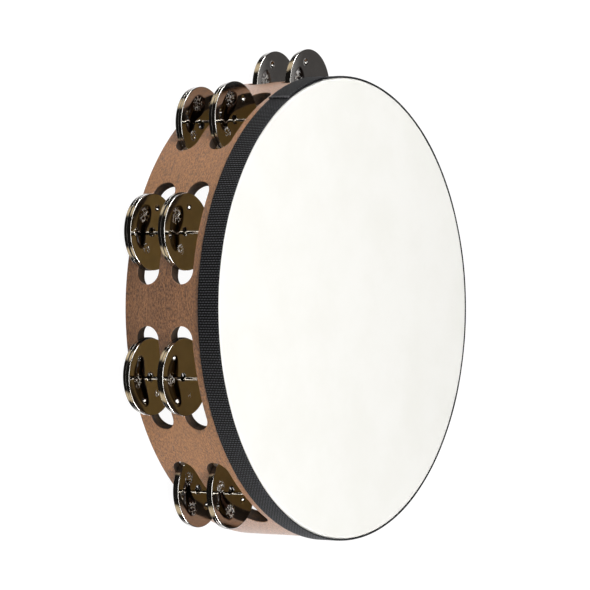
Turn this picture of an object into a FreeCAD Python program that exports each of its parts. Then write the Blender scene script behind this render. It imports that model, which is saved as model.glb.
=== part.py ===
"""Headed tambourine: a slotted wooden hoop with a drum head and two rows of paired jingles.

Row frame, in millimetres: the drum's axis is Z and the head faces +Z. The origin is on the axis,
in the plane of the open rim that the drum rests on. The stretch without jingles, where the hand
holds the hoop, is at -Y.
"""

import FreeCAD, Part
import math
import os

# Wooden hoop.
SHELL_RADIUS = 127.0  # a 10 inch hoop, measured outside
SHELL_WALL = 6.6
SKIN = 0.6  # thickness of the drum head
DRUM_HEIGHT = 61.0  # from the open rim to the face of the head
RIM_ROUNDING = 0.6  # both edges of the open rim, where the hand holds it
CROWN_ROUNDING = 1.0  # the edges that the head is stretched over

# Slots for the jingles: one row near the rim and one near the head.
STATIONS = 9
STATION_PITCH = 36.0  # degrees; ten places round the hoop, and the grip takes one
FIRST_STATION = -54.0  # degrees from +X
SLOT_LENGTH = 57.2
SLOT_WIDTH = 13.8
SLOT_CENTRES = {"rim_row": 14.0, "head_row": 35.9}
SLOT_EDGE = 0.25  # rounding of the slots' edges

# Head and the webbing that covers its glued collar.
COLLAR_DEPTH = 11.0
WEBBING = 1.1  # thickness
WEBBING_WIDTH = 13.2
WEBBING_DROP = 0.1  # its upper edge is this far below the face of the head
OVERLAP_START = 100.0  # degrees from +X, where the band climbs over its own start
OVERLAP_END = 120.0  # where the upper layer is cut off
RAMP = 3.0  # degrees that the band takes to climb one thickness

# Jingles and their pins.
PIN_RADIUS = 1.0
PIN_END_INSET = 0.5  # the pin is driven in until its end is this far inside the rim
PIN_HOLD = 5.0  # how far the pin goes into the wood above the row near the head
JINGLE_RADIUS = 20.4
JINGLE_HEIGHT = 1.9  # from its face to the edge of its turned rim
JINGLE_SHEET = 0.45  # sheet metal thickness
JINGLE_BEND = 0.65  # outer radius where the rim turns
JINGLE_HOLE = 2.5  # radius of the loose hole
SLOT_PLAY = 0.15  # least gap between a jingle and a wall of its slot
PAIR_GAP = 0.2  # gap between the turned rims of a pair at rest
LEAN = 0.8  # how far the jingles lie off their pins towards +Y
SCATTER = 0.35  # how far each jingle then lies from that common place
GOLDEN_ANGLE = 137.5  # degrees; spreads the directions of the scatter
SLID_BACK = ("rim_row", 6)  # the pair that lies the other way, towards -Y
BACK_LEAN = 1.1

SHELL_HEIGHT = DRUM_HEIGHT - SKIN
SHELL_BORE = SHELL_RADIUS - SHELL_WALL
PIN_CIRCLE = SHELL_RADIUS - SHELL_WALL / 2
PIN_TOP = SLOT_CENTRES["head_row"] + SLOT_WIDTH / 2 + PIN_HOLD
TINY = 1e-3

UP = FreeCAD.Vector(0, 0, 1)
ORIGIN = FreeCAD.Vector(0, 0, 0)


def at(angle, radius, z=0.0):
    """The point at an angle in degrees round the drum."""
    turn = math.radians(angle)
    return FreeCAD.Vector(radius * math.cos(turn), radius * math.sin(turn), z)


def ring(outer, inner, low, high):
    """A plain tube round the drum's axis."""
    size = high - low
    base = FreeCAD.Vector(0, 0, low)
    return Part.makeCylinder(outer, size, base, UP).cut(Part.makeCylinder(inner, size, base, UP))


def level_edges(shape, z):
    """The edges that lie wholly at one height."""
    found = []
    for edge in shape.Edges:
        box = edge.BoundBox
        if abs(box.ZMin - z) < TINY and abs(box.ZMax - z) < TINY:
            found.append(edge)
    return found


def station_angles():
    return [FIRST_STATION + STATION_PITCH * k for k in range(STATIONS)]


def slot_cutter(angle, centre_z):
    """A bar with fully rounded ends that cuts one slot straight through the wall."""
    half = SLOT_WIDTH / 2
    reach = SLOT_LENGTH / 2 - half
    corners = [(-reach, -half), (reach, -half), (reach, half), (-reach, half)]
    low_left, low_right, high_right, high_left = [FreeCAD.Vector(0, y, z) for y, z in corners]
    outline = Part.Wire([
        Part.LineSegment(low_left, low_right).toShape(),
        Part.Arc(low_right, FreeCAD.Vector(0, reach + half, 0), high_right).toShape(),
        Part.LineSegment(high_right, high_left).toShape(),
        Part.Arc(high_left, FreeCAD.Vector(0, -reach - half, 0), low_left).toShape(),
    ])
    bar = Part.Face(outline).extrude(FreeCAD.Vector(4 * SHELL_WALL, 0, 0))
    bar.translate(FreeCAD.Vector(PIN_CIRCLE - 2 * SHELL_WALL, 0, centre_z))
    bar.rotate(ORIGIN, UP, angle)
    return bar


def slot_edges(shape):
    """The edges where the slots break through the outer and inner faces of the hoop."""
    lowest = min(SLOT_CENTRES.values()) - SLOT_WIDTH / 2 - TINY
    highest = max(SLOT_CENTRES.values()) + SLOT_WIDTH / 2 + TINY
    found = []
    for edge in shape.Edges:
        box = edge.BoundBox
        spans = [math.hypot(v.X, v.Y) for v in edge.Vertexes]
        on_one_face = max(spans) - min(spans) < TINY
        if box.ZMin > lowest and box.ZMax < highest and on_one_face:
            found.append(edge)
    return found


def pin_shape(angle):
    """One pin, driven in along the axis through both rows of slots."""
    length = PIN_TOP - PIN_END_INSET
    return Part.makeCylinder(PIN_RADIUS, length, at(angle, PIN_CIRCLE, PIN_END_INSET), UP)


def pin_hole(angle):
    """The pin's blind hole, open at the rim."""
    return Part.makeCylinder(PIN_RADIUS, PIN_TOP, at(angle, PIN_CIRCLE), UP)


def make_shell():
    hoop = ring(SHELL_RADIUS, SHELL_BORE, 0, SHELL_HEIGHT)
    hoop = hoop.makeFillet(RIM_ROUNDING, level_edges(hoop, 0))
    hoop = hoop.makeFillet(CROWN_ROUNDING, level_edges(hoop, SHELL_HEIGHT))
    slots = [slot_cutter(a, z) for a in station_angles() for z in SLOT_CENTRES.values()]
    hoop = hoop.cut(Part.makeCompound(slots))
    hoop = hoop.makeFillet(SLOT_EDGE, slot_edges(hoop))
    return hoop.cut(Part.makeCompound([pin_hole(a) for a in station_angles()]))


def make_head():
    """A skin over the hoop, folded down round it and glued."""
    low = FreeCAD.Vector(0, 0, DRUM_HEIGHT - COLLAR_DEPTH)
    outside = Part.makeCylinder(SHELL_RADIUS + SKIN, COLLAR_DEPTH, low)
    outside = outside.makeFillet(CROWN_ROUNDING + SKIN, level_edges(outside, DRUM_HEIGHT))
    block = Part.makeCylinder(SHELL_RADIUS, COLLAR_DEPTH - SKIN, low)
    return outside.cut(block.makeFillet(CROWN_ROUNDING, level_edges(block, SHELL_HEIGHT)))


def make_webbing():
    """One turn of webbing round the collar, whose end lies over its own start."""
    inner = SHELL_RADIUS + SKIN
    one, two = inner + WEBBING, inner + 2 * WEBBING
    low, high = OVERLAP_START, OVERLAP_END
    crest = low + RAMP
    middle = (crest + high) / 2
    far = (low + high) / 2 + 180
    outline = Part.Wire([
        Part.Arc(at(high, one), at(far, one), at(low, one)).toShape(),
        Part.LineSegment(at(low, one), at(crest, two)).toShape(),
        Part.Arc(at(crest, two), at(middle, two), at(high, two)).toShape(),
        Part.LineSegment(at(high, two), at(high, one)).toShape(),
    ])
    top = DRUM_HEIGHT - WEBBING_DROP
    band = Part.Face(outline).extrude(FreeCAD.Vector(0, 0, WEBBING_WIDTH))
    band.translate(FreeCAD.Vector(0, 0, top - WEBBING_WIDTH))
    return band.cut(Part.makeCylinder(inner, 2 * DRUM_HEIGHT))


def jingle_shape():
    """One jingle, face down at z 0: a shallow pan with a turned rim and a loose hole."""
    sheet, bend, edge = JINGLE_SHEET, JINGLE_BEND, JINGLE_RADIUS
    diagonal = math.sqrt(0.5)
    inner_bend = bend - sheet

    def spot(r, z):
        return FreeCAD.Vector(r, 0, z)

    def on_bend(radius):
        return spot(edge - bend + radius * diagonal, bend - radius * diagonal)

    outline = Part.Wire([
        Part.LineSegment(spot(JINGLE_HOLE, 0), spot(edge - bend, 0)).toShape(),
        Part.Arc(spot(edge - bend, 0), on_bend(bend), spot(edge, bend)).toShape(),
        Part.LineSegment(spot(edge, bend), spot(edge, JINGLE_HEIGHT)).toShape(),
        Part.LineSegment(spot(edge, JINGLE_HEIGHT), spot(edge - sheet, JINGLE_HEIGHT)).toShape(),
        Part.LineSegment(spot(edge - sheet, JINGLE_HEIGHT), spot(edge - sheet, bend)).toShape(),
        Part.Arc(spot(edge - sheet, bend), on_bend(inner_bend), spot(edge - bend, sheet)).toShape(),
        Part.LineSegment(spot(edge - bend, sheet), spot(JINGLE_HOLE, sheet)).toShape(),
        Part.LineSegment(spot(JINGLE_HOLE, sheet), spot(JINGLE_HOLE, 0)).toShape(),
    ])
    return Part.Face(outline).revolve(ORIGIN, UP, 360)


def off_its_pin(row, number, count):
    """How far a jingle lies off its pin; count is how many jingles are in place before it."""
    if (row, number) == SLID_BACK:
        return FreeCAD.Vector(0, -BACK_LEAN, 0)
    return FreeCAD.Vector(0, LEAN, 0) + at(GOLDEN_ANGLE * count, SCATTER)


def make_jingles():
    """Every jingle in its rest place, dropped towards the rim: a lower and an upper one per slot."""
    lower = jingle_shape()
    upper = jingle_shape()
    upper.rotate(ORIGIN, FreeCAD.Vector(1, 0, 0), 180)
    jingles = {}
    for row, centre in SLOT_CENTRES.items():
        floor = centre - SLOT_WIDTH / 2 + SLOT_PLAY
        faces = {"lower": (lower, floor), "upper": (upper, floor + 2 * JINGLE_HEIGHT + PAIR_GAP)}
        for number, angle in enumerate(station_angles(), start=1):
            for side, (shape, face_z) in faces.items():
                jingle = shape.copy()
                jingle.translate(at(angle, PIN_CIRCLE, face_z) + off_its_pin(row, number, len(jingles)))
                jingles[f"jingle_{row}_{number}_{side}"] = jingle
    return jingles


def main():
    nodes = {
        "shell": make_shell(),
        "drum_head": make_head(),
        "webbing_band": make_webbing(),
        "jingle_pins": Part.makeCompound([pin_shape(a) for a in station_angles()]),
    }
    nodes.update(make_jingles())
    os.makedirs("parts", exist_ok=True)
    for name, shape in nodes.items():
        shape.exportStep(f"parts/{name}.step")
        print(name, len(shape.Solids), "solids", round(shape.Volume / 1000, 3), "cm3", shape.isValid())


main()
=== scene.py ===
"""Headed tambourine lying on its open rim: the looks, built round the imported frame.

Row frame, in metres: the drum's axis is Z and the head faces +Z. The grip, the stretch of hoop
without jingles, is at -Y. "Outwards" on a jingle is away from the drum's axis.
"""

import math

import bpy
import numpy as np
from mathutils import Matrix, Vector


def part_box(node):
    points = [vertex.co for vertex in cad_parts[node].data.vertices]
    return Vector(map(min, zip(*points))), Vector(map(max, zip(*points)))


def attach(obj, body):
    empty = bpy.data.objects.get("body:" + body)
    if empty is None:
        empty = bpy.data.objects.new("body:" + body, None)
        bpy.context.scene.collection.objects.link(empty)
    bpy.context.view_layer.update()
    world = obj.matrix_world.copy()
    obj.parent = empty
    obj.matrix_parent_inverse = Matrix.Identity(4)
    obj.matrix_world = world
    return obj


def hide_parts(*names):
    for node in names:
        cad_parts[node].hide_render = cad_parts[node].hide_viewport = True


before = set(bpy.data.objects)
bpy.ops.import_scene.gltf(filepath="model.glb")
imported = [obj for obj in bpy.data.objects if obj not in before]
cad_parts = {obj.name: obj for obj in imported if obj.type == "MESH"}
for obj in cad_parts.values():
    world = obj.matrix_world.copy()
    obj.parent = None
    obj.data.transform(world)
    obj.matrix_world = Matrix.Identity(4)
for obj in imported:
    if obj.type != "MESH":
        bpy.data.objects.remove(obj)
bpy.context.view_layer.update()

MM = 0.001

# Sizes of the drum, read from the frame.
SHELL_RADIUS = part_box("shell")[1][0]
SHELL_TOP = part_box("shell")[1][2]
DRUM_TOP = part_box("drum_head")[1][2]
COLLAR_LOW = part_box("drum_head")[0][2]
COLLAR_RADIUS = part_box("drum_head")[1][0]
WEBBING_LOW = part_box("webbing_band")[0][2]
WEBBING_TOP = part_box("webbing_band")[1][2]
WALL = 6.6 * MM  # thickness of the hoop, as in the CAD
SHELL_BORE = SHELL_RADIUS - WALL

# Camera: from -X and above, with +Y up in the picture, so that the head is to the right.
CAMERA_AIM = Vector((0.0028, 0.0074, 0.0220))
CAMERA_DISTANCE = 1.56
SIGHT_AZIMUTH = math.radians(89.755)
SIGHT_ELEVATION = math.radians(33.36)
ROUND_THE_DRUM = math.radians(0.74)  # the whole camera is then swung about the drum's axis
LENS = 169.14  # millimetres, as is the sensor's width
SENSOR = 36.0


# Short calls for meshes.

def mesh_object(name, points, faces, smooth=True):
    """A mesh piece from arrays of points and faces, in the row frame."""
    mesh = bpy.data.meshes.new(name)
    mesh.from_pydata([tuple(p) for p in points], [], [tuple(int(i) for i in f) for f in faces])
    mesh.validate()
    mesh.polygons.foreach_set("use_smooth", [smooth] * len(mesh.polygons))
    mesh.update()
    piece = bpy.data.objects.new(name, mesh)
    bpy.context.scene.collection.objects.link(piece)
    return piece


def grid_faces(rows, columns, closed_rows=True):
    """Quads between the points of a grid, numbered row by row; each row is a closed ring."""
    row = np.arange(rows if closed_rows else rows - 1)
    i, j = [a.ravel() for a in np.meshgrid(row, np.arange(columns), indexing="ij")]
    below, beside = (i + 1) % rows, (j + 1) % columns
    here, next_row = i * columns, below * columns
    return np.stack([here + j, here + beside, next_row + beside, next_row + j], 1)


def smooth_step(value):
    """Runs smoothly from 0 to 1 as value does, and stays there outside."""
    value = np.clip(value, 0, 1)
    return value * value * (3 - 2 * value)


def paint_uv(piece, places):
    """Stores one pair of numbers per point as the piece's UV map."""
    layer = piece.data.uv_layers.new(name="place")
    corner = np.zeros(len(piece.data.loops), np.int32)
    piece.data.loops.foreach_get("vertex_index", corner)
    layer.data.foreach_set("uv", np.asarray(places, np.float32)[corner].ravel())


def paint_mask(piece, name, values):
    """Stores one number per point, for the material to read."""
    mask = piece.data.attributes.new(name, "FLOAT", "POINT")
    mask.data.foreach_set("value", np.asarray(values, np.float32))


# Short calls for shader nodes.

# Where the Mix node keeps its sockets when it mixes colours.
MIX_COLOURS = {"factor": 0, "a": 6, "b": 7, "result": 2}


def add_node(tree, kind, inputs=None, **settings):
    """A shader node, with each input set to a value or linked to a socket."""
    made = tree.nodes.new("ShaderNode" + kind)
    for name, value in settings.items():
        setattr(made, name, value)
    for name, value in (inputs or {}).items():
        if isinstance(value, bpy.types.NodeSocket):
            tree.links.new(value, made.inputs[name])
        else:
            made.inputs[name].default_value = value
    return made


def calc(tree, operation, *values):
    """The result of a Math node."""
    return add_node(tree, "Math", dict(enumerate(values)), operation=operation).outputs[0]


def product(tree, a, b):
    return calc(tree, "MULTIPLY", a, b)


def blend(tree, factor, a, b):
    """Colour a where factor is 0, colour b where it is 1."""
    made = add_node(tree, "Mix", data_type="RGBA")
    for name, value in (("factor", factor), ("a", a), ("b", b)):
        socket = made.inputs[MIX_COLOURS[name]]
        if isinstance(value, bpy.types.NodeSocket):
            tree.links.new(value, socket)
        else:
            socket.default_value = value
    return made.outputs[MIX_COLOURS["result"]]


def rescale(tree, value, low, high, to_low=0.0, to_high=1.0):
    """Maps low..high to to_low..to_high, smoothly and clamped."""
    inputs = {0: value, 1: low, 2: high, 3: to_low, 4: to_high}
    return add_node(tree, "MapRange", inputs, interpolation_type="SMOOTHSTEP").outputs[0]


def blend_values(tree, factor, a, b):
    """a where factor is 0, b where it is 1."""
    return add_node(tree, "Mix", {0: factor, 2: a, 3: b}).outputs[0]


def noise(tree, vector, scale, detail=2.0, rough=0.5):
    inputs = {"Vector": vector, "Scale": scale, "Detail": detail, "Roughness": rough}
    return add_node(tree, "TexNoise", inputs).outputs["Fac"]


def vector_of(tree, x, y, z=0.0):
    return add_node(tree, "CombineXYZ", {0: x, 1: y, 2: z}).outputs[0]


def bump(tree, height, distance, strength=1.0):
    inputs = {"Height": height, "Distance": distance, "Strength": strength}
    return add_node(tree, "Bump", inputs).outputs[0]


def new_material(name, **sockets):
    """A material with one Principled shader; returns it with its tree and shader."""
    material = bpy.data.materials.new(name)
    material.use_nodes = True
    tree = material.node_tree
    shader = next(n for n in tree.nodes if n.type == "BSDF_PRINCIPLED")
    for socket, value in sockets.items():
        shader.inputs[socket.replace("_", " ")].default_value = value
    return material, tree, shader


def wire(tree, shader, **links):
    """Links outputs to the shader's inputs, named with _ for each space."""
    for socket, value in links.items():
        tree.links.new(value, shader.inputs[socket.replace("_", " ")])


def place_in_object(tree):
    """The point's own x, y and z, in metres."""
    coordinates = add_node(tree, "TexCoord").outputs["Object"]
    return add_node(tree, "SeparateXYZ", {0: coordinates}).outputs


def from_axis(tree, x, y):
    """Distance from the drum's axis."""
    return calc(tree, "SQRT", calc(tree, "ADD", product(tree, x, x), product(tree, y, y)))


def round_the_hoop(tree):
    """(distance along the hoop in metres, distance from the axis, height)."""
    x, y, z = place_in_object(tree)
    turn = calc(tree, "ARCTAN2", product(tree, x, -1.0), y)
    return product(tree, turn, SHELL_RADIUS), from_axis(tree, x, y), z


# Materials. Colours are linear red, green and blue, with 1 for alpha.

WOOD_DARK, WOOD_LIGHT = (0.082, 0.029, 0.0075, 1), (0.490, 0.206, 0.064, 1)
WOOD_STREAK, WOOD_PATCH = (0.150, 0.056, 0.016, 1), (0.310, 0.132, 0.039, 1)
WOOD_PORE = (0.045, 0.020, 0.010, 1)
CUT_DARK, CUT_LIGHT = (0.017, 0.008, 0.003, 1), (0.070, 0.034, 0.011, 1)
SKIN_PALE, SKIN_CREAM = (0.818, 0.812, 0.778, 1), (0.790, 0.784, 0.742, 1)
RAW_PALE_LIT_THROUGH, RAW_TAN_LIT_THROUGH = (0.52, 0.345, 0.105, 1), (0.46, 0.295, 0.085, 1)
NYLON_GAP_SHADE, NYLON_THREAD_SHEEN = (0.0012, 0.0012, 0.0014, 1), (0.070, 0.072, 0.078, 1)
NYLON_END_LIGHTER = (0.10, 0.10, 0.105, 1)
NICKEL_DARK, NICKEL_LIGHT = (0.455, 0.440, 0.415, 1), (0.500, 0.480, 0.450, 1)
NICKEL_TROUGH_SHADE, NICKEL_INSIDE_SHADE = (0.048, 0.034, 0.026, 1), (0.045, 0.040, 0.036, 1)
NICKEL_SCRIBBLE, NICKEL_BEND_HIGHLIGHT = (0.92, 0.90, 0.86, 1), (0.70, 0.68, 0.64, 1)
STEEL_DARK, STEEL_LIGHT = (0.72, 0.67, 0.58, 1), (0.88, 0.84, 0.76, 1)
THREAD_PITCH = 1.75  # millimetres, across the band
STAMP_CELL = 1.9 * MM  # size of the cells whose edges make the stamped lines
FACED_WITHIN, CUT_BEYOND = 0.1 * MM, 0.5 * MM  # how far from the hoop's faces the wood is which


def make_wood():
    """Brown stained maple: flecks and streaks along the hoop, lacquered, with dark cut faces."""
    material, tree, shader = new_material(
        "stained_maple", Coat_Roughness=0.5, Specular_IOR_Level=1.0
    )
    along, radius, height = round_the_hoop(tree)

    def grain(stretch, scale, detail=3.0, rough=0.6):
        """Noise drawn out along the hoop."""
        place = vector_of(tree, product(tree, along, stretch), height, radius)
        return noise(tree, place, scale, detail, rough)

    flecks = rescale(tree, grain(0.42, 1450.0, 4.0, 0.8), 0.37, 0.65)
    streaks = rescale(tree, grain(0.05, 420.0, 5.0), 0.30, 0.72)
    patches = rescale(tree, grain(0.5, 55.0), 0.35, 0.68)
    pores = rescale(tree, grain(0.16, 1500.0, 2.0, 0.5), 0.60, 0.68)
    colour = blend(tree, flecks, WOOD_DARK, WOOD_LIGHT)
    colour = blend(tree, product(tree, streaks, 0.30), colour, WOOD_STREAK)
    colour = blend(tree, product(tree, patches, 0.35), colour, WOOD_PATCH)
    colour = blend(tree, product(tree, pores, 0.65), colour, WOOD_PORE)
    outside = rescale(tree, radius, SHELL_RADIUS - CUT_BEYOND, SHELL_RADIUS - FACED_WITHIN)
    inside = rescale(tree, radius, SHELL_BORE + FACED_WITHIN, SHELL_BORE + CUT_BEYOND, 1.0, 0.0)
    faced = calc(tree, "MAXIMUM", outside, inside)
    colour = blend(tree, faced, blend(tree, streaks, CUT_DARK, CUT_LIGHT), colour)
    relief = calc(tree, "SUBTRACT", product(tree, flecks, 0.5), pores)
    rough = blend_values(tree, faced, 0.95, rescale(tree, flecks, 0.0, 1.0, 0.55, 0.42))
    normal = bump(tree, relief, 0.06 * MM, 0.8)
    wire(tree, shader, Base_Color=colour, Roughness=rough, Coat_Weight=faced, Normal=normal)
    return material


def make_skin():
    """Bleached drum skin: cream and smooth outside, tan on the raw side that faces the hoop, its
    yellow deepened as painted light shining through the skin.
    """
    material, tree, shader = new_material("bleached_skin", Specular_IOR_Level=0.4)
    coordinates = add_node(tree, "TexCoord").outputs["Object"]
    uv = add_node(tree, "UVMap", uv_map="place").outputs[0]
    outer = add_node(tree, "SeparateXYZ", {0: uv}).outputs[0]
    clouds = rescale(tree, noise(tree, coordinates, 26.0, 5.0, 0.6), 0.3, 0.7)
    fibres = noise(tree, coordinates, 420.0, 4.0, 0.6)
    face = blend(tree, clouds, SKIN_PALE, SKIN_CREAM)
    # The raw side's tan is deepened in yellow, as painted light shining through the skin.
    raw = blend(tree, clouds, RAW_PALE_LIT_THROUGH, RAW_TAN_LIT_THROUGH)
    colour = blend(tree, outer, raw, face)
    rough = rescale(tree, fibres, 0.2, 0.8, 0.46, 0.6)
    normal = bump(tree, fibres, 0.03 * MM, 0.35)
    wire(tree, shader, Base_Color=colour, Roughness=rough, Normal=normal)
    return material


def make_nylon():
    """Black woven nylon: ribs across the band, with fine threads that pass over them in turn;
    painted shade between the ribs and painted sheen on the threads.
    """
    material, tree, shader = new_material(
        "black_nylon", Sheen_Weight=0.02, Sheen_Roughness=0.4, Specular_IOR_Level=0.12
    )
    uv = add_node(tree, "UVMap", uv_map="place").outputs[0]
    along, across, _ = add_node(tree, "SeparateXYZ", {0: uv}).outputs

    def wave(turns):
        return calc(tree, "COSINE", product(tree, turns, 2 * math.pi))

    fuzz = noise(tree, vector_of(tree, along, across), 2.2, 4.0, 0.7)
    waver = product(tree, noise(tree, vector_of(tree, along, across), 0.9), 0.3)
    # Painted shade and sheen: the valleys between ribs are painted dark and the threads on the
    # crests light.
    rib = rescale(tree, wave(calc(tree, "ADD", along, waver)), 0.3, -0.8)
    stagger = product(tree, calc(tree, "SINE", product(tree, along, math.pi)), 0.25)
    place = calc(tree, "ADD", calc(tree, "DIVIDE", across, THREAD_PITCH), stagger)
    weave = rescale(tree, wave(place), -0.9, 0.1, 0.2, 1.0)
    light = product(tree, product(tree, rib, weave), rescale(tree, fuzz, 0.25, 0.7, 0.4, 1.2))
    colour = blend(tree, light, NYLON_GAP_SHADE, NYLON_THREAD_SHEEN)
    # The band's melted cut end is painted a lighter grey.
    melted = add_node(tree, "Attribute", attribute_name="melted").outputs["Fac"]
    colour = blend(tree, product(tree, melted, rescale(tree, fuzz, 0.3, 0.6)), colour, NYLON_END_LIGHTER)
    height = calc(tree, "ADD", product(tree, weave, 0.5), product(tree, fuzz, 0.6))
    rough = rescale(tree, fuzz, 0.3, 0.7, 0.5, 0.7)
    normal = bump(tree, height, 0.12 * MM, 0.8)
    wire(tree, shader, Base_Color=colour, Roughness=rough, Normal=normal)
    return material


def make_jingle_metal():
    """Dark nickel plate with stamped marks, a painted highlight at the bend and painted shade in the
    trough and inside.
    """
    material, tree, shader = new_material("dark_nickel", Metallic=1.0)
    coordinates = add_node(tree, "TexCoord").outputs["Object"]
    masks = ("stamp", "trough", "edge", "inside")
    stamp, trough, edge, inside = [
        add_node(tree, "Attribute", attribute_name=name).outputs["Fac"] for name in masks
    ]
    clouds = rescale(tree, noise(tree, coordinates, 130.0, 3.0, 0.6), 0.3, 0.7)
    cell_inputs = {"Vector": coordinates, "Scale": 1 / STAMP_CELL, "Randomness": 0.8}
    cells = add_node(tree, "TexVoronoi", cell_inputs, feature="DISTANCE_TO_EDGE").outputs[0]
    broken = rescale(tree, noise(tree, coordinates, 620.0, 2.0), 0.40, 0.56)
    lines = product(tree, rescale(tree, cells, 0.05, 0.20, 1.0, 0.0), broken)
    scribble = product(tree, lines, stamp)
    colour = blend(tree, clouds, NICKEL_DARK, NICKEL_LIGHT)
    # Painted shade: the metal in the trough is painted almost black.
    colour = blend(tree, trough, colour, NICKEL_TROUGH_SHADE)
    colour = blend(tree, scribble, colour, NICKEL_SCRIBBLE)
    # Painted highlight: the metal at the bend is painted brighter.
    colour = blend(tree, edge, colour, NICKEL_BEND_HIGHLIGHT)
    # Painted shade on the inside faces, between the two jingles of a pair.
    colour = blend(tree, inside, colour, NICKEL_INSIDE_SHADE)
    rough = rescale(tree, clouds, 0.0, 1.0, 0.07, 0.12)
    rough = blend_values(tree, scribble, rough, 0.36)
    rough = blend_values(tree, inside, rough, 0.5)
    normal = bump(tree, scribble, 0.30 * MM, 0.9)
    wire(tree, shader, Base_Color=colour, Roughness=rough, Normal=normal)
    return material


def make_pin_steel():
    """Drawn steel with fine marks along the pin."""
    material, tree, shader = new_material("drawn_steel", Metallic=1.0)
    x, y, z = place_in_object(tree)
    marks = noise(tree, vector_of(tree, x, y, product(tree, z, 0.05)), 4000.0, 3.0, 0.6)
    colour = blend(tree, marks, STEEL_DARK, STEEL_LIGHT)
    rough = rescale(tree, marks, 0.2, 0.8, 0.07, 0.15)
    wire(tree, shader, Base_Color=colour, Roughness=rough)
    return material


# Drum skin.

CROWN = 1.0 * MM  # rounding of the hoop's edge under the skin
SKIN_COLUMNS = 288
RIPPLE = 0.05 * MM  # height of the faint waves near the skin's edge
RIPPLES = [(3, 1.0, 0.7), (7, 0.6, 2.1), (13, 0.4, 0.0)]  # (waves round the drum, share, phase)
RIPPLE_INSET, RIPPLE_FADE = 2 * MM, 12 * MM  # from the hoop's edge inwards


def skin_side(offset):
    """Radii and heights from the middle out and down, at a distance from the hoop."""
    bend = np.linspace(0, math.pi / 2, 7)[1:]
    shares = np.concatenate([np.linspace(0.02, 0.9, 16), np.linspace(0.92, 1, 8)])
    flat = shares * (SHELL_RADIUS - CROWN)
    collar = np.linspace(SHELL_TOP - CROWN, COLLAR_LOW, 5)[1:]
    reach = CROWN + offset
    radii = [flat, SHELL_RADIUS - CROWN + reach * np.sin(bend), 0 * collar + SHELL_RADIUS + offset]
    heights = [0 * flat + SHELL_TOP + offset, SHELL_TOP - CROWN + reach * np.cos(bend), collar]
    return np.concatenate(radii), np.concatenate(heights)


def make_drum_skin(material):
    """One skin over the crown of the hoop and down its side, thin all over."""
    outer, inner = skin_side(DRUM_TOP - SHELL_TOP), skin_side(0.0)
    radii = np.concatenate([outer[0], inner[0][::-1]])
    heights = np.concatenate([outer[1], inner[1][::-1]])
    turn = np.linspace(0, 2 * math.pi, SKIN_COLUMNS, endpoint=False)
    x, y = radii[:, None] * np.cos(turn), radii[:, None] * np.sin(turn)
    rings = np.stack([x, y, heights[:, None] + 0 * turn], -1)
    ripple = RIPPLE * sum(part * np.sin(waves * turn + phase) for waves, part, phase in RIPPLES)
    slack = smooth_step(radii / SHELL_RADIUS)
    slack = slack * smooth_step((SHELL_RADIUS - RIPPLE_INSET - radii) / RIPPLE_FADE)
    rings[:, :, 2] += slack[:, None] * (ripple - RIPPLE)
    points = rings.reshape(-1, 3)
    faces = [list(f) for f in grid_faces(len(radii), SKIN_COLUMNS, closed_rows=False)]
    top, under = len(points), len(points) + 1
    points = np.concatenate([points, [[0, 0, DRUM_TOP], [0, 0, SHELL_TOP]]])
    last = (len(radii) - 1) * SKIN_COLUMNS
    for k in range(SKIN_COLUMNS):
        after = (k + 1) % SKIN_COLUMNS
        faces.append([top, after, k])
        faces.append([under, last + k, last + after])
    piece = mesh_object("drum_skin", points, [f[::-1] for f in faces])
    outer_side = np.repeat([1.0] * len(outer[0]) + [0.0] * len(inner[0]), SKIN_COLUMNS)
    outer_side = np.append(outer_side, [1.0, 0.0])
    paint_uv(piece, np.stack([outer_side, 0 * outer_side], 1))
    piece.data.materials.append(material)
    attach(piece, "drum")
    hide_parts("drum_head")


# Webbing band.

RIB_PITCH = 1.35 * MM
RIB_STEPS = 4  # points along each rib
RIB_HEIGHT = 0.16 * MM
BAND_THICK = 0.98 * MM
BAND_START = 103.5  # degrees from +X, where the under layer begins
CLIMB_START, CLIMB_END = 460.0, 463.0  # degrees, where it climbs over its own start
BAND_END = 479.6  # degrees, where the upper layer is cut off
MELT = 0.8  # degrees at the cut end, where the melted edge is thicker
MELT_HEIGHT = 0.25 * MM
GLUE_GAP = 0.02 * MM  # between the collar and the band
LAP_GAP = 0.03 * MM  # between the two layers of the lap
EDGE_WAVER = 0.06 * MM  # how far the band wanders up and down
SLOW_WAVER, FAST_WAVER = 31, 95  # radians of each over the whole band
OUTER_FACE = 0.7  # the share of the thickness beyond which the section is ribbed


def band_profile():
    """The band's section: (0 inner to 1 outer face, 0 lower to 1 upper edge, share of the ribs)."""
    outer = [(1.0, v, 1.0) for v in np.linspace(0.07, 0.93, 9)]
    edge_high = [(0.86, 0.975, 0.5), (0.5, 1.0, 0.0), (0.12, 0.98, 0.0)]
    edge_low = [(0.12, 0.02, 0.0), (0.5, 0.0, 0.0), (0.86, 0.025, 0.5)]
    inner = [(0.0, 0.9, 0.0), (0.0, 0.5, 0.0), (0.0, 0.1, 0.0)]
    return np.array([*outer, *edge_high, *inner, *edge_low])


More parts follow.
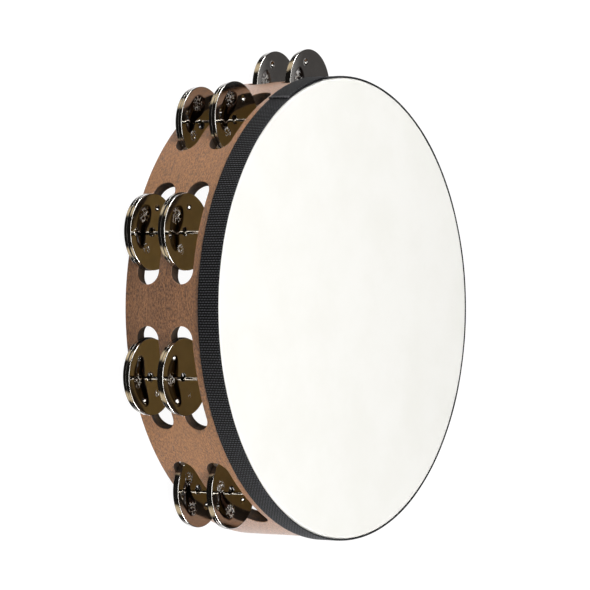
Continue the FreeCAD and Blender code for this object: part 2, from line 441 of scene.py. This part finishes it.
def make_webbing(material):
    """One strip of ribbed webbing, glued round the collar and lapped over its own start."""
    profile = band_profile()
    middle = COLLAR_RADIUS + BAND_THICK / 2
    ribs = int(math.radians(BAND_END - BAND_START) * middle / RIB_PITCH)
    count = ribs * RIB_STEPS + 1
    share = np.linspace(0, 1, count)[:, None]
    across = profile[:, 1]
    angle = BAND_START + (BAND_END - BAND_START) * share + 0 * across[None, :]
    rib = 0.5 - 0.5 * np.cos(2 * math.pi * share * ribs)
    climb = smooth_step((angle - CLIMB_START) / (CLIMB_END - CLIMB_START)) * (BAND_THICK + LAP_GAP)
    melted = smooth_step(1 - (BAND_END - angle) / MELT)
    layer, ribbed = profile[None, :, 0], profile[None, :, 2]
    body = BAND_THICK + MELT_HEIGHT * melted
    body = body - RIB_HEIGHT * (1 - rib * ribbed) * (layer > OUTER_FACE)
    radius = COLLAR_RADIUS + GLUE_GAP + climb + body * layer
    turn = np.radians(angle)
    height = WEBBING_LOW + (WEBBING_TOP - WEBBING_LOW) * across[None, :] + 0 * turn
    height = height + EDGE_WAVER * np.sin(share * FAST_WAVER) * np.sin(share * SLOW_WAVER + 1)
    points = np.stack([radius * np.cos(turn), radius * np.sin(turn), height], -1).reshape(-1, 3)
    size = len(profile)
    faces = [list(f)[::-1] for f in grid_faces(count, size, closed_rows=False)]
    faces.append(list(range(size)))
    faces.append([(count - 1) * size + k for k in reversed(range(size))])
    piece = mesh_object("webbing_strip", points, faces)
    width = WEBBING_TOP - WEBBING_LOW
    places = np.stack([share * ribs + 0 * turn, across[None, :] * width / MM + 0 * turn], -1)
    paint_uv(piece, places.reshape(-1, 2))
    paint_mask(piece, "melted", melted.ravel())
    piece.data.materials.append(material)
    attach(piece, "drum")
    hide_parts("webbing_band")


# Jingles.

JINGLE_RADIUS = 20.4 * MM
JINGLE_HEIGHT = 1.94 * MM
SHEET = 0.30 * MM
BEND = 0.38 * MM
RIM_EDGE = 0.06 * MM  # rounding of the turned rim's edge
DISH = 1.25 * MM  # how far the face is hollowed
LOWER_SHARE = 0.35  # how deep a pair's lower jingle is pressed, so that it clears the upper one
HOLE = 2.15 * MM
PETALS = 5
PETAL_REACH = 0.20  # how much wider the hole is cut between its petals
LIP_DEPTH = 0.32 * MM  # how far the petals are pushed in
LIP_WIDTH = 0.9 * MM
TROUGH_DEPTH = 0.62 * MM
TROUGH_FADE = 0.2  # share of a trough's half width in which its painted shade sets in
DIMPLE_RADIUS = 0.11  # in jingle radii
DIMPLE_DEPTH = 1.35 * MM
DIMPLE_CLEARS_SHADE = 3.0  # how fast the painted trough shade gives way inside a dimple
STAMP_FADE = 0.3  # share of a stamped patch's radius in which its marks set in
EDGE_FADE = 0.3 * BEND  # distance in which the painted highlight at the bend sets in
COLUMNS = 192
FACE_RINGS = 50
FACE_EXTRA_RINGS = 15  # near the hole, round the bend and down the rim
BACK_RINGS = 12

# What is pressed into each kind of jingle, in jingle radii: a trough as a chain of
# (x, y, half width), dimples as (x, y), and stamped patches as (x, y, radius).
PRESSINGS = [
    {
        "trough": [(-0.28, 0.50, 0.18), (-0.37, 0.36, 0.33), (-0.45, 0.17, 0.29),
                   (-0.51, -0.06, 0.25), (-0.485, -0.24, 0.26), (-0.45, -0.36, 0.17)],
        "dimples": [(-0.70, -0.12), (0.12, 0.66)],
        "stamps": [(-0.40, 0.40, 0.25), (-0.20, -0.46, 0.17)],
    },
    {
        "trough": [(-0.42, 0.42, 0.17), (-0.485, 0.20, 0.27), (-0.52, 0.0, 0.29),
                   (-0.48, -0.20, 0.28), (-0.36, -0.43, 0.25), (-0.26, -0.62, 0.15)],
        "dimples": [(-0.46, 0.50), (-0.30, -0.63)],
        "stamps": [(-0.56, -0.05, 0.22), (0.26, -0.44, 0.11)],
    },
    {
        "trough": [(-0.55, -0.08, 0.17), (-0.52, -0.23, 0.22), (-0.39, -0.42, 0.28),
                   (-0.14, -0.55, 0.24)],
        "dimples": [(-0.66, -0.38), (0.50, -0.29)],
        "stamps": [(-0.08, -0.54, 0.22), (-0.54, 0.13, 0.21)],
    },
]

# How the upper jingles on the camera's side have come to rest: the pressing and its turn in degrees.
AT_REST = {
    "jingle_head_row_5_upper": (0, 27), "jingle_rim_row_5_upper": (0, 30),
    "jingle_head_row_6_upper": (0, -20), "jingle_rim_row_6_upper": (0, -27),
    "jingle_head_row_7_upper": (0, 0), "jingle_rim_row_7_upper": (0, -7),
    "jingle_head_row_8_upper": (1, 0), "jingle_rim_row_8_upper": (1, 4),
    "jingle_head_row_9_upper": (2, 0), "jingle_rim_row_9_upper": (2, -21),
}
TURN_SEED = 7  # for the turns of all the others


def distance_share(x, y, chain):
    """1 on a chain of (x, y, half width), falling to 0 at its half width."""
    best = np.zeros(np.broadcast(x, y).shape)
    for (ax, ay, a_half), (bx, by, b_half) in zip(chain, chain[1:]):
        run = (bx - ax) ** 2 + (by - ay) ** 2
        share = np.clip(((x - ax) * (bx - ax) + (y - ay) * (by - ay)) / run, 0, 1)
        away = np.hypot(x - ax - share * (bx - ax), y - ay - share * (by - ay))
        best = np.maximum(best, 1 - away / (a_half + share * (b_half - a_half)))
    return best


def rounded_chain(points, rounds=2):
    """The chain with its corners cut again and again, so that it bends smoothly."""
    chain = np.array(points)
    for _ in range(rounds):
        a, b = chain[:-1], chain[1:]
        inner = np.stack([0.75 * a + 0.25 * b, 0.25 * a + 0.75 * b], 1).reshape(-1, 3)
        chain = np.concatenate([chain[:1], inner, chain[-1:]])
    return chain


def dimpled(x, y, pressing, reach):
    """1 in the middle of each dimple, falling to 0 at its reach."""
    mask = np.zeros(np.broadcast(x, y).shape)
    for dimple_x, dimple_y in pressing["dimples"]:
        mask = np.maximum(mask, smooth_step(1 - np.hypot(x - dimple_x, y - dimple_y) / reach))
    return mask


def pressed_depth(x, y, pressing):
    """How deep the sheet is pressed in at each place, in metres."""
    depth = TROUGH_DEPTH * smooth_step(distance_share(x, y, rounded_chain(pressing["trough"])))
    depth = depth + DISH * np.clip(1 - x * x - y * y, 0, 1)
    return depth + DIMPLE_DEPTH * dimpled(x, y, pressing, DIMPLE_RADIUS)


def stamped(x, y, pressing):
    """1 in the stamped patches, 0 elsewhere."""
    mask = np.zeros(x.shape)
    for stamp_x, stamp_y, reach in pressing["stamps"]:
        away = np.hypot(x - stamp_x, y - stamp_y)
        mask = np.maximum(mask, smooth_step((reach - away) / (STAMP_FADE * reach)))
    return mask


def jingle_grid(pressing, share):
    """Points of one jingle, face up at height 0, as rings from the hole out and back inside."""
    turn = np.linspace(0, 2 * math.pi, COLUMNS, endpoint=False)[None, :]
    notch = (0.5 + 0.5 * np.cos(PETALS * turn)) ** 4
    hole = HOLE * (1 + PETAL_REACH * notch)
    face_end = JINGLE_RADIUS - BEND
    inner_bend = BEND - SHEET
    radii, heights = [], []

    def add_rings(radius, height):
        radii.append(radius + 0 * turn)
        heights.append(height + 0 * turn)

    def add_sheet(spread, below):
        """Rings across the pressed sheet; spread runs from 0 at the hole to 1 at the bend."""
        radius = hole + (face_end - hole) * spread
        lip = LIP_DEPTH * (1 - notch) * smooth_step(1 - (radius - hole) / LIP_WIDTH)
        x, y = radius * np.cos(turn) / face_end, radius * np.sin(turn) / face_end
        add_rings(radius, -below - share * pressed_depth(x, y, pressing) - lip)

    near_hole = np.linspace(0, 0.08, 5)
    front = np.concatenate([near_hole, np.linspace(0.1, 0.985, FACE_RINGS), [1.0]])
    add_sheet(front[:, None], 0.0)
    bend = np.linspace(0, math.pi / 2, 7)[1:, None]
    add_rings(face_end + BEND * np.sin(bend), -BEND + BEND * np.cos(bend))
    for height in (-BEND - 2 * RIM_EDGE, -JINGLE_HEIGHT + 3 * RIM_EDGE, -JINGLE_HEIGHT + RIM_EDGE):
        add_rings(JINGLE_RADIUS, np.array([[height]]))
    add_rings(JINGLE_RADIUS - RIM_EDGE, np.array([[-JINGLE_HEIGHT]]))
    add_rings(JINGLE_RADIUS - SHEET + RIM_EDGE, np.array([[-JINGLE_HEIGHT]]))
    add_rings(JINGLE_RADIUS - SHEET, np.array([[-JINGLE_HEIGHT + RIM_EDGE]]))
    turned = bend[::-1]
    add_rings(face_end + inner_bend * np.sin(turned), -BEND + inner_bend * np.cos(turned))
    back = np.concatenate([np.linspace(1, 0.1, BACK_RINGS), near_hole[::-1]])
    add_sheet(back[:, None], SHEET)
    radii, heights = np.concatenate(radii), np.concatenate(heights)
    return np.stack([radii * np.cos(turn), radii * np.sin(turn), heights], -1)


def make_jingle(node, material, pressing, turn):
    """A detailed jingle in its CAD node's place, turned by some degrees about its pin."""
    low, high = [Vector(c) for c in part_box(node)]
    centre = (low + high) / 2
    if node.endswith("upper"):
        flip, face_height, share = Matrix.Identity(3), high.z, 1.0
    else:
        flip, face_height, share = Matrix.Rotation(math.pi, 3, "X"), low.z, LOWER_SHARE
    grid = jingle_grid(pressing, share)
    points = grid.reshape(-1, 3)
    faces = grid_faces(grid.shape[0], grid.shape[1])[:, ::-1]
    put = np.array(Matrix.Rotation(math.radians(turn), 3, "Z") @ flip)
    placed = points @ put.T + (centre.x, centre.y, face_height)
    piece = mesh_object("metal_" + node, placed, faces)
    x, y = points[:, 0] / JINGLE_RADIUS, points[:, 1] / JINGLE_RADIUS
    # Painted shade in the trough, cleared again inside the dimples.
    trough = smooth_step(distance_share(x, y, rounded_chain(pressing["trough"])) / TROUGH_FADE)
    trough = trough * (1 - np.clip(DIMPLE_CLEARS_SHADE * dimpled(x, y, pressing, DIMPLE_RADIUS), 0, 1))
    # Painted highlight along the bend between face and rim.
    edge = smooth_step((np.hypot(x, y) * JINGLE_RADIUS - JINGLE_RADIUS + BEND) / EDGE_FADE)
    edge = edge * smooth_step((points[:, 2] + BEND) / EDGE_FADE)
    paint_mask(piece, "stamp", stamped(x, y, pressing))
    paint_mask(piece, "trough", trough)
    paint_mask(piece, "edge", edge)
    # The back of the sheet, between the two jingles of a pair, gets painted shade.
    outside_points = (FACE_RINGS + FACE_EXTRA_RINGS) * COLUMNS
    paint_mask(piece, "inside", np.arange(len(points)) >= outside_points)
    piece.data.materials.append(material)
    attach(piece, node)
    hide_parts(node)


def make_jingles(material):
    """All the jingles; those without a set place take any turn about their pins."""
    nodes = sorted(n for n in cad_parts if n.endswith(("_lower", "_upper")))
    turns = np.random.default_rng(TURN_SEED).uniform(-180, 180, len(nodes))
    for k, node in enumerate(nodes):
        kind, turn = AT_REST.get(node, (k % len(PRESSINGS), float(turns[k])))
        make_jingle(node, material, PRESSINGS[kind], turn)


# Stage, light and camera.

FLOOR_SIZE = 8.0
ARCH_BRIGHTNESS = 5.2
OVERHEAD_BRIGHTNESS = 4.0
FLANK_BRIGHTNESS = 18.0
FLOOR_GREY, FLOOR_GREY_GLOW = (0.6, 0.6, 0.6, 1), 0.35  # as matt things see it
FLOOR_WARM, FLOOR_WARM_GLOW = (0.55, 0.42, 0.25, 1), 0.10  # as metal above it reflects it
FLOOR_BRIGHT, FLOOR_BRIGHT_GLOW = (0.12, 0.12, 0.12, 1), 0.95  # as the camera sees it
STUDIO_DARK, STUDIO_HIGH = (0.012, 0.011, 0.010, 1), (0.115, 0.110, 0.110, 1)
BACKDROP, SIDE_PANEL = (1.35, 1.35, 1.38, 1), (1.05, 0.86, 0.58, 1)
STUDIO_SEEN = (0.98, 0.98, 0.98, 1)


def make_floor():
    """A plain pale floor that shows bright, with little shadow.

    Metal reflects only the part inside the hoop, and past it the studio, as if there were no floor.
    """
    half = FLOOR_SIZE / 2
    corners = [(-half, -half, 0), (half, -half, 0), (half, half, 0), (-half, half, 0)]
    floor = mesh_object("floor", corners, [(0, 1, 2, 3)], smooth=False)
    material = bpy.data.materials.new("pale_floor")
    material.use_nodes = True
    tree = material.node_tree
    tree.nodes.clear()

    def glowing(colour, glow):
        matt = add_node(tree, "BsdfDiffuse", {"Color": colour}).outputs[0]
        light = add_node(tree, "Emission", {"Color": (1, 1, 1, 1), "Strength": glow}).outputs[0]
        return add_node(tree, "AddShader", {0: matt, 1: light}).outputs[0]

    def choose(share, first, second):
        return add_node(tree, "MixShader", {0: share, 1: first, 2: second}).outputs[0]

    x, y, _ = place_in_object(tree)
    beyond = calc(tree, "GREATER_THAN", from_axis(tree, x, y), SHELL_BORE)
    rays = add_node(tree, "LightPath").outputs
    mirrored = rays["Is Glossy Ray"]
    grey = glowing(FLOOR_GREY, FLOOR_GREY_GLOW)
    mixed = choose(mirrored, grey, glowing(FLOOR_WARM, FLOOR_WARM_GLOW))
    clear = add_node(tree, "BsdfTransparent").outputs[0]
    mixed = choose(product(tree, mirrored, beyond), mixed, clear)
    mixed = choose(rays["Is Camera Ray"], mixed, glowing(FLOOR_BRIGHT, FLOOR_BRIGHT_GLOW))
    tree.links.new(mixed, add_node(tree, "OutputMaterial").inputs[0])
    floor.data.materials.append(material)


def make_world():
    """Studio surroundings, dark but for a backdrop behind the drum and soft panels beside it.

    Looked at directly they show as pale as the floor.
    """
    world = bpy.data.worlds.new("studio")
    bpy.context.scene.world = world
    world.use_nodes = True
    tree = world.node_tree
    tree.nodes.clear()
    direction = add_node(tree, "TexCoord").outputs["Generated"]

    def facing(x, y, z, near, far):
        """1 within near degrees of a direction, falling to 0 at far degrees."""
        aim = Vector((x, y, z)).normalized()
        dot = add_node(tree, "VectorMath", {0: direction, 1: aim}, operation="DOT_PRODUCT")
        inner, outer = math.cos(math.radians(near)), math.cos(math.radians(far))
        return rescale(tree, dot.outputs["Value"], outer, inner)

    ahead, down = math.cos(SIGHT_ELEVATION), math.sin(SIGHT_ELEVATION)
    colour = blend(tree, facing(ahead, 0, down, 8, 34), STUDIO_DARK, STUDIO_HIGH)
    colour = blend(tree, facing(ahead, 0, -down, 30, 62), colour, BACKDROP)
    for side in (1, -1):
        colour = blend(tree, facing(-0.35, 0.755 * side, -down, 3, 18), colour, SIDE_PANEL)
    seen = add_node(tree, "LightPath").outputs["Is Camera Ray"]
    colour = blend(tree, seen, colour, STUDIO_SEEN)
    background = add_node(tree, "Background", {"Color": colour, "Strength": 1.0}).outputs[0]
    tree.links.new(background, add_node(tree, "OutputWorld").inputs[0])


def softbox(name, direction, distance, width, length, brightness):
    """A softbox aimed at the middle of the drum, its length along Y; brightness 1 shows white."""
    light = bpy.data.lights.new(name, "AREA")
    light.shape, light.size, light.size_y = "RECTANGLE", width, length
    light.energy = brightness * math.pi * width * length
    lamp = bpy.data.objects.new(name, light)
    bpy.context.scene.collection.objects.link(lamp)
    away = Vector(direction).normalized()
    lamp.location = Vector((0, 0, DRUM_TOP / 2)) + away * distance
    along = (Vector((0, 1, 0)) - away * away.y).normalized()
    lamp.rotation_euler = Matrix((along.cross(away), along, away)).transposed().to_euler()
    lamp.visible_camera = False


def make_lights():
    """An arch of softboxes on the camera's side, a low one at each flank and a small one above."""
    softbox("arch_middle", (-0.55, 0, 0.83), 1.5, 0.5, 1.2, ARCH_BRIGHTNESS)
    softbox("overhead", (0, 0, 1), 1.7, 0.5, 0.5, OVERHEAD_BRIGHTNESS)
    for side, name in ((1, "plus"), (-1, "minus")):
        softbox("arch_" + name, (-0.25, 0.68 * side, 0.69), 1.5, 0.5, 1.2, ARCH_BRIGHTNESS)
        softbox("flank_" + name, (-0.1, 0.98 * side, 0.11), 1.4, 0.3, 1.0, FLANK_BRIGHTNESS)


def make_camera():
    """Looks along the line of sight with the drum's +Y up in the picture."""
    flat, down = math.cos(SIGHT_ELEVATION), math.sin(SIGHT_ELEVATION)
    forward = Vector((math.sin(SIGHT_AZIMUTH) * flat, math.cos(SIGHT_AZIMUTH) * flat, -down))
    right = forward.cross(Vector((0, 1, 0))).normalized()
    up = right.cross(forward)
    turned = Matrix((right, up, -forward)).transposed().to_4x4()
    data = bpy.data.cameras.new("camera")
    data.lens, data.sensor_width, data.clip_end = LENS, SENSOR, 20.0
    camera = bpy.data.objects.new("camera", data)
    bpy.context.scene.collection.objects.link(camera)
    camera.matrix_world = (
        Matrix.Rotation(ROUND_THE_DRUM, 4, "Z")
        @ Matrix.Translation(CAMERA_AIM - forward * CAMERA_DISTANCE) @ turned
    )
    bpy.context.scene.camera = camera


def dress(node, material):
    """Gives a CAD node its material."""
    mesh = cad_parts[node].data
    mesh.materials.clear()
    mesh.materials.append(material)


bpy.context.scene.view_settings.view_transform = "Standard"
make_camera()
make_floor()
make_world()
make_lights()
dress("shell", make_wood())
dress("jingle_pins", make_pin_steel())
make_drum_skin(make_skin())
make_webbing(make_nylon())
make_jingles(make_jingle_metal())
